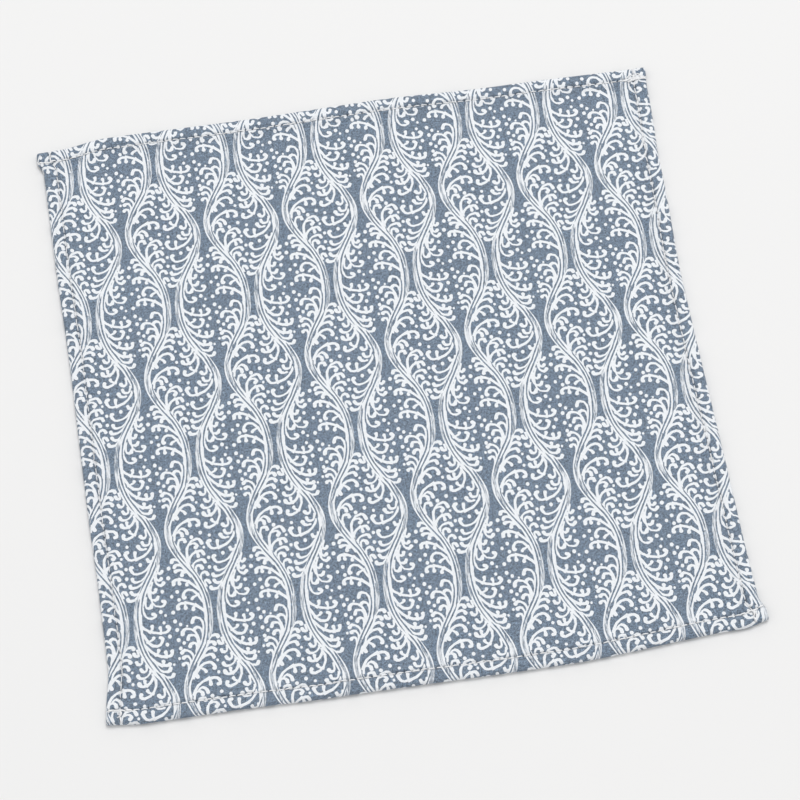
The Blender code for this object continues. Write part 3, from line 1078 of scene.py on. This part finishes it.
# The seams' ends, sewn back over themselves: short stitches, some in several passes side by side
TACK_STEP = 2.4
TACK_LENGTH = 0.95 * TACK_STEP
TACK_BESIDE = (0.15, 0.35)    # how far a sewn-back stitch lies beside the seam, on either side
TACK_SLANT = 0.3
TACK_LIFT = 0.15
PASS_APART = 0.35          # how much further in each pass lies than the one before
PASS_SHIFT = 0.8           # how much further along every second one lies
Tack = namedtuple("Tack", "side start stitches passes fullness", defaults=(1, 1.15))
TACKS = (
    Tack("front", 0.4, 4), Tack("front", 240.0, 4), Tack("back", 0.4, 4),
    Tack("back", 239.8, 4, passes=3, fullness=1.4), Tack("left", 0.4, 2), Tack("left", 244.8, 2),
    Tack("right", 0.4, 2), Tack("right", 244.8, 2),
)
for tack in TACKS:
    for pass_number in range(tack.passes):
        for stitch in range(tack.stitches):
            start = tack.start + stitch * TACK_STEP + PASS_SHIFT * (pass_number % 2)
            inset = SEAM_INSET + thread_dice.uniform(*TACK_BESIDE) * thread_dice.choice((-1.0, 1.0))
            inset += PASS_APART * pass_number
            drift = thread_dice.normal(0.0, TACK_SLANT)
            path = stitch_path(tack.side, start, TACK_LENGTH, inset, drift, TACK_LIFT)
            sew(path, tack.fullness * TAPER)

# Thread ends left at the corners, each from its seam over a bend to its tip, lying on the cloth
TAIL_RADIUS = 0.85 * THREAD_RADIUS
TAIL_HEIGHT = 0.8 * THREAD_RADIUS
TAIL_DIP = 0.5             # how far down its end is held in the seam
Tail = namedtuple("Tail", "start bend tip")
TAILS = (
    Tail((3.4, 244.9), (-0.6, 244.0), (1.6, 248.2)),
    Tail((243.6, 244.6), (246.6, 247.4), (247.8, 244.4)),
    Tail((245.4, 245.6), (243.2, 246.8), (241.4, 245.0)),
    Tail((244.9, 5.6), (245.9, 3.4), (244.6, 0.8)),
    Tail((5.2, 5.4), (6.4, 3.6), (4.4, 2.2)),
)
for tail in TAILS:
    across, up = np.array(bezier(tail.start, tail.bend, tail.bend, tail.tip, steps=10)).T
    path = on_cloth(across, up)
    path[:, 2] += TAIL_HEIGHT * MM
    path[0, 2] -= TAIL_DIP * MM
    sew(path, np.full(len(path), TAIL_RADIUS * MM))


def white_thread():
    """Bright twisted sewing thread."""
    finish = Finish("white_thread")
    place = finish.own_place()
    twist = finish.add("ShaderNodeTexWave", {"Vector": place, "Scale": 1900.0}, bands_direction="DIAGONAL")
    plies = twist.outputs["Fac"]
    return finish.surface({
        "Base Color": finish.mix(plies, (0.88, 0.89, 0.91), (0.96, 0.965, 0.97)),
        "Roughness": finish.between(finish.noise(place, 1500.0), 0.3, 0.7, 0.45, 0.65),
        "Sheen Weight": 0.1,
        "Normal": finish.bump(plies, 0.03 * MM, 0.6),
    })


thread_points, thread_faces = np.concatenate(thread_points), np.concatenate(thread_faces)
stitching = mesh_piece("hem_stitching", thread_points, thread_faces, [white_thread()])
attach(stitching, "root")

# The table, the light and the camera
# A pale table without a horizon, a wide soft light high behind the cloth and a bright room round it,
# and a long lens that looks down on the cloth from the front.
TABLE_SIZE = 6.0
TABLE_COLOR = (0.845, 0.843, 0.840)


def pale_table():
    """Matt white laminate with the faintest unevenness."""
    finish = Finish("pale_table")
    clouds = finish.noise(finish.own_place(), 3.0)
    return finish.surface({
        "Base Color": finish.shaded(TABLE_COLOR, finish.between(clouds, 0.3, 0.7, 0.995, 1.0)),
        "Roughness": finish.between(clouds, 0.3, 0.7, 0.85, 0.9),
        "Specular IOR Level": 0.2,
    })


table_corners = np.array([(-1, -1, 0), (1, -1, 0), (1, 1, 0), (-1, 1, 0)]) * 0.5 * TABLE_SIZE
table = mesh_piece("table", table_corners, [(0, 1, 2, 3)], [pale_table()])

ROOM_STRENGTH = 0.72
room = bpy.data.worlds.new("bright_room")
room.use_nodes = True
walls = room.node_tree.nodes["Background"]
walls.inputs["Color"].default_value = (1.0, 1.0, 1.0, 1.0)
walls.inputs["Strength"].default_value = ROOM_STRENGTH
bpy.context.scene.world = room


def stand(name, data, place, facing):
    """Puts a light or a camera at its place, turned to face a point."""
    thing = bpy.data.objects.new(name, data)
    thing.location = place
    thing.rotation_euler = (place - facing).to_track_quat("Z", "Y").to_euler()
    bpy.context.scene.collection.objects.link(thing)
    return thing


WINDOW_PLACE = Vector((0.5, 1.0, 3.0))
WINDOW_SIZE = 1.4
WINDOW_POWER = 39.5
window = bpy.data.lights.new("window_light", "AREA")
window.size = WINDOW_SIZE
window.energy = WINDOW_POWER
stand("window_light", window, WINDOW_PLACE, Vector())

# The camera aims at a point on the table, a little right of and in front of the cloth's middle
AIM_RIGHT, AIM_BACK = 3.0, -8.4
CAMERA_DISTANCE = 1.2311
CAMERA_ELEVATION = math.radians(63.26)
CAMERA_AZIMUTH = math.radians(-6.08)
CAMERA_ROLL = math.radians(3.09)
CAMERA_LENS = 142.0
aim = Vector((0.5 * SIDE - MIDDLE_X + AIM_RIGHT, 0.5 * SIDE - MIDDLE_Y + AIM_BACK, 0.0)) * MM
flat_distance = CAMERA_DISTANCE * math.cos(CAMERA_ELEVATION)
camera_place = aim + Vector((
    flat_distance * math.sin(CAMERA_AZIMUTH),
    -flat_distance * math.cos(CAMERA_AZIMUTH),
    CAMERA_DISTANCE * math.sin(CAMERA_ELEVATION),
))
camera = stand("camera", bpy.data.cameras.new("camera"), camera_place, aim)
camera.rotation_euler.rotate_axis("Z", -CAMERA_ROLL)
camera.data.lens = CAMERA_LENS
bpy.context.scene.camera = camera
bpy.context.scene.view_settings.view_transform = "Standard"
